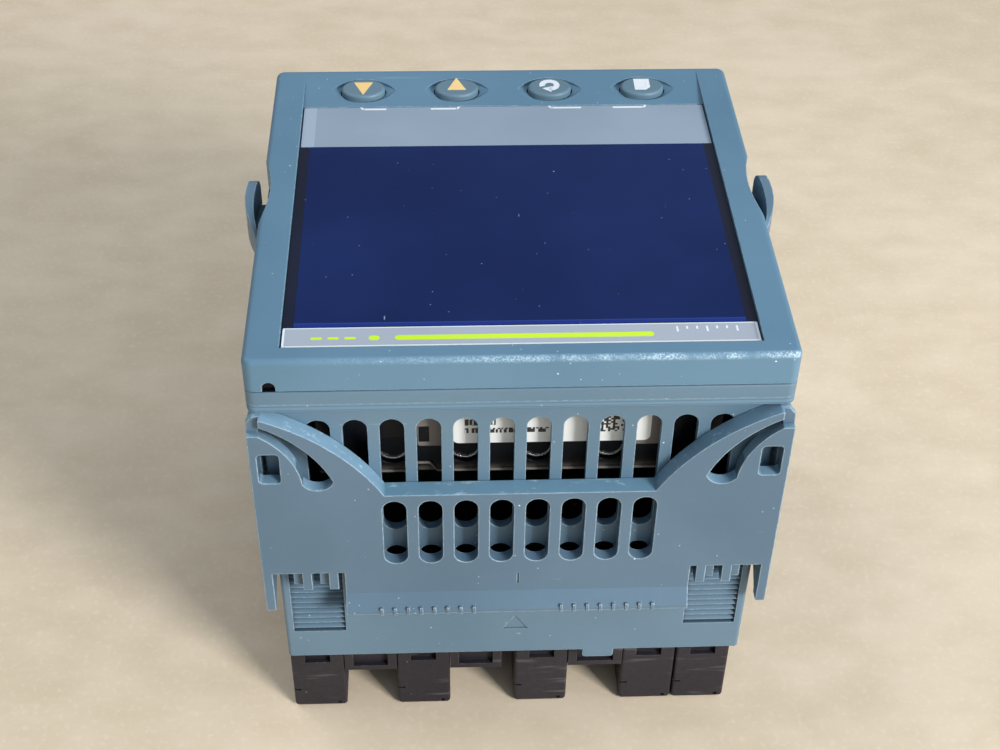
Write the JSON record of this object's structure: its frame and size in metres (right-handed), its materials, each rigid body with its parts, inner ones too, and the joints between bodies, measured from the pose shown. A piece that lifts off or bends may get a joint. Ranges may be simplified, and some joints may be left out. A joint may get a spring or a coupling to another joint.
{
  "type": "panel temperature controller",
  "caption": "Panel-mount PID temperature controller that plugs into a vented sleeve with sliding retaining clips, latch ears, front keys and rear screw terminals.",
  "frame": {"origin": "middle of the footprint, on the plane of the terminal blocks' feet", "axes": "+Z out of the display, -Y towards the side that is uppermost in a panel, +X to the left as the display is read"},
  "size_m": [0.1028, 0.1028, 0.1014],
  "materials": {
    "case_plastic": "fine matt moulded blue-grey",
    "clip_plastic": "fine matt moulded blue-grey",
    "bezel_plastic": "fine matt moulded blue-grey",
    "key_plastic": "satin moulded blue-grey with plain symbols",
    "gasket_rubber": "soft grey sealing rubber",
    "key_rubber": "soft silicone",
    "lens_plastic": "clear hard-coated window with grey printed strips",
    "lcd_glass": "dark blue glass of an unlit display",
    "black_plastic": "black flame-proof moulding",
    "circuit_board": "green solder mask",
    "label_paper": "white label with plain bars",
    "screw_steel": "zinc-plated",
    "contact_brass": "plated contact",
    "can_aluminium": "drawn can",
    "relay_plastic": "moulded relay case",
    "transformer_tape": "taped winding on a dark core"
  },
  "bodies": {
    "sleeve_body": {"sleeve": "case_plastic", "panel_gasket": "gasket_rubber", "terminal_base": "black_plastic", "terminal_screws": "screw_steel", "wire_clamps": "screw_steel", "contact_blades": "contact_brass", "terminal_block_1": "black_plastic", "terminal_block_2": "black_plastic", "terminal_block_3": "black_plastic", "terminal_block_4": "black_plastic", "terminal_block_5": "black_plastic"},
    "instrument": {"front_bezel": "bezel_plastic", "display_lens": "lens_plastic", "lcd_module": "lcd_glass", "display_board": "circuit_board", "key_mat": "key_rubber", "inner_chassis": "black_plastic", "rating_label": "label_paper", "power_board": "circuit_board", "io_board": "circuit_board", "power_connector": "black_plastic", "io_connector": "black_plastic", "transformer": "transformer_tape", "capacitor_1": "can_aluminium", "capacitor_2": "can_aluminium", "capacitor_3": "can_aluminium", "capacitor_4": "can_aluminium", "relay_1": "relay_plastic", "relay_2": "relay_plastic", "relay_3": "relay_plastic"},
    "ear_left": {"latch_ear_left": "case_plastic"},
    "ear_right": {"latch_ear_right": "case_plastic"},
    "clip_top": {"retaining_clip_top": "clip_plastic"},
    "clip_bottom": {"retaining_clip_bottom": "clip_plastic"},
    "page_key": {"key_page": "key_plastic"},
    "scroll_key": {"key_scroll": "key_plastic"},
    "lower_key": {"key_lower": "key_plastic"},
    "raise_key": {"key_raise": "key_plastic"}
  },
  "joints": [
    {"name": "instrument_unplug", "type": "slide", "parent": "sleeve_body", "child": "instrument", "axis": [0, 0, 1], "range_m": [0, 0.09]},
    {"name": "ear_left_flex", "type": "hinge", "parent": "sleeve_body", "child": "ear_left", "pos_m": [-0.04705, 0.002, 0.09265], "axis": [0, -1, 0], "range_deg": [0, 12], "stiffness_Nm_per_rad": 0.12, "springref_deg": -5.73},
    {"name": "ear_right_flex", "type": "hinge", "parent": "sleeve_body", "child": "ear_right", "pos_m": [0.04705, 0.002, 0.09265], "axis": [0, 1, 0], "range_deg": [0, 12], "stiffness_Nm_per_rad": 0.12, "springref_deg": -5.73},
    {"name": "clip_top_slide", "type": "slide", "parent": "sleeve_body", "child": "clip_top", "axis": [0, 0, 1], "range_m": [-0.016, 0]},
    {"name": "clip_bottom_slide", "type": "slide", "parent": "sleeve_body", "child": "clip_bottom", "axis": [0, 0, 1], "range_m": [-0.016, 0]},
    {"name": "press_page", "type": "slide", "parent": "instrument", "child": "page_key", "axis": [0, 0, -1], "range_m": [0, 0.0006], "stiffness_N_per_m": 1500, "springref_m": -0.0003},
    {"name": "press_scroll", "type": "slide", "parent": "instrument", "child": "scroll_key", "axis": [0, 0, -1], "range_m": [0, 0.0006], "stiffness_N_per_m": 1500, "springref_m": -0.0003},
    {"name": "press_lower", "type": "slide", "parent": "instrument", "child": "lower_key", "axis": [0, 0, -1], "range_m": [0, 0.0006], "stiffness_N_per_m": 1500, "springref_m": -0.0003},
    {"name": "press_raise", "type": "slide", "parent": "instrument", "child": "raise_key", "axis": [0, 0, -1], "range_m": [0, 0.0006], "stiffness_N_per_m": 1500, "springref_m": -0.0003}
  ]
}
